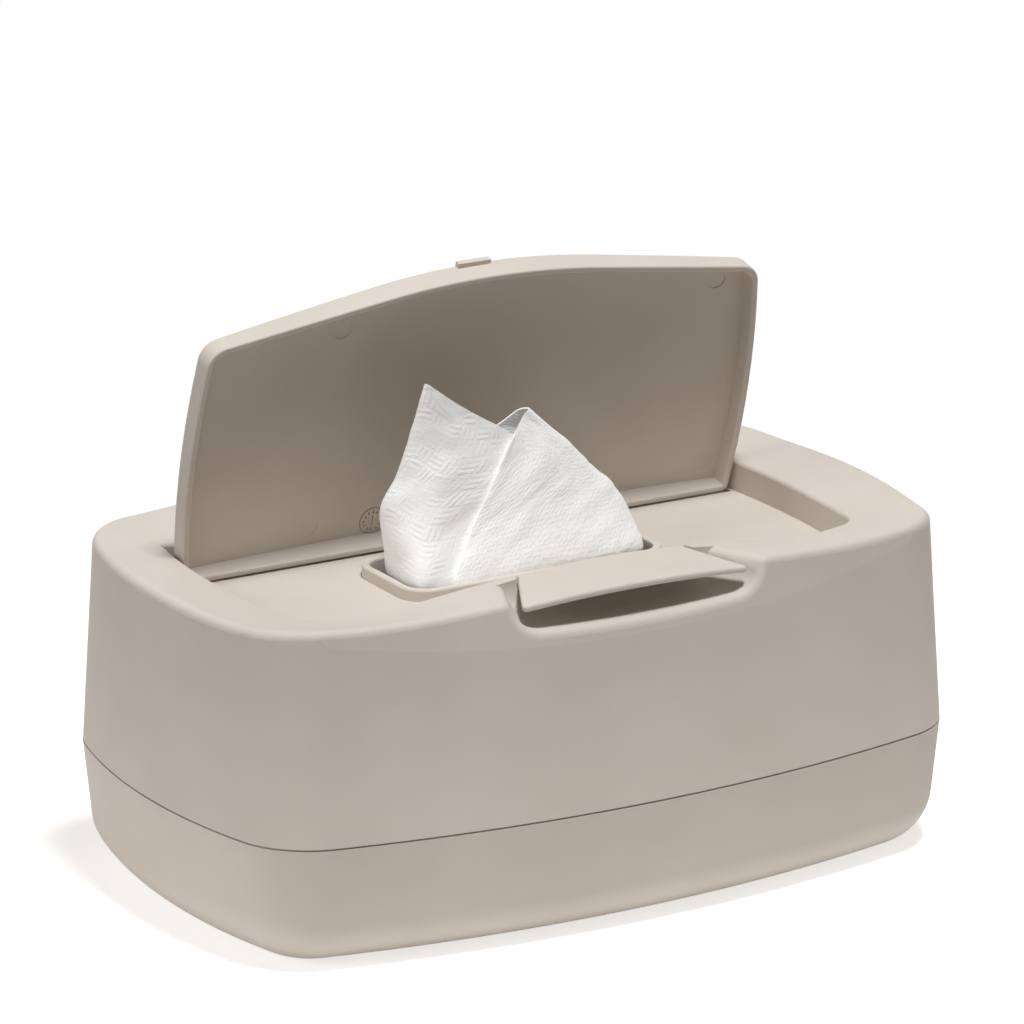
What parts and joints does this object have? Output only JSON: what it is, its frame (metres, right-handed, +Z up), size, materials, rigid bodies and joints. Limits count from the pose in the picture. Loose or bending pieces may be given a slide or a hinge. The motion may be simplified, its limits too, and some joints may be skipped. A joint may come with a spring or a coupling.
{
  "type": "baby wipe box",
  "caption": "Rounded plastic box for folded wipes, with a hinged lid standing open over a collar, a wipe pulled up through it, and a sprung press tab at the front.",
  "frame": {"origin": "middle of the base, on the surface that the box stands on", "axes": "+X along the length, +Y from the press tab to the hinge at the rear, +Z up"},
  "size_m": [0.25, 0.1598, 0.18],
  "materials": {
    "taupe_plastic": "matt fine-textured moulding",
    "wet_wipe": "embossed nonwoven"
  },
  "bodies": {
    "tray": {"lower_tray": "taupe_plastic", "wipe_stack": "wet_wipe"},
    "housing": {"upper_housing": "taupe_plastic", "popup_wipe": "wet_wipe"},
    "lid": {"lid": "taupe_plastic"},
    "tab": {"press_tab": "taupe_plastic"}
  },
  "joints": [
    {"name": "housing_lift", "type": "slide", "parent": "tray", "child": "housing", "axis": [0, 0, 1], "range_m": [0, 0.06]},
    {"name": "lid_hinge", "type": "hinge", "parent": "housing", "child": "lid", "pos_m": [0, 0.0354, 0.09456], "axis": [1, 0, 0], "range_deg": [0, 73.1], "deforming": ["popup_wipe"]},
    {"name": "tab_press", "type": "hinge", "parent": "housing", "child": "tab", "pos_m": [0, -0.0518, 0.104], "axis": [1, 0, 0], "range_deg": [0, 8], "stiffness_Nm_per_rad": 0.6}
  ]
}
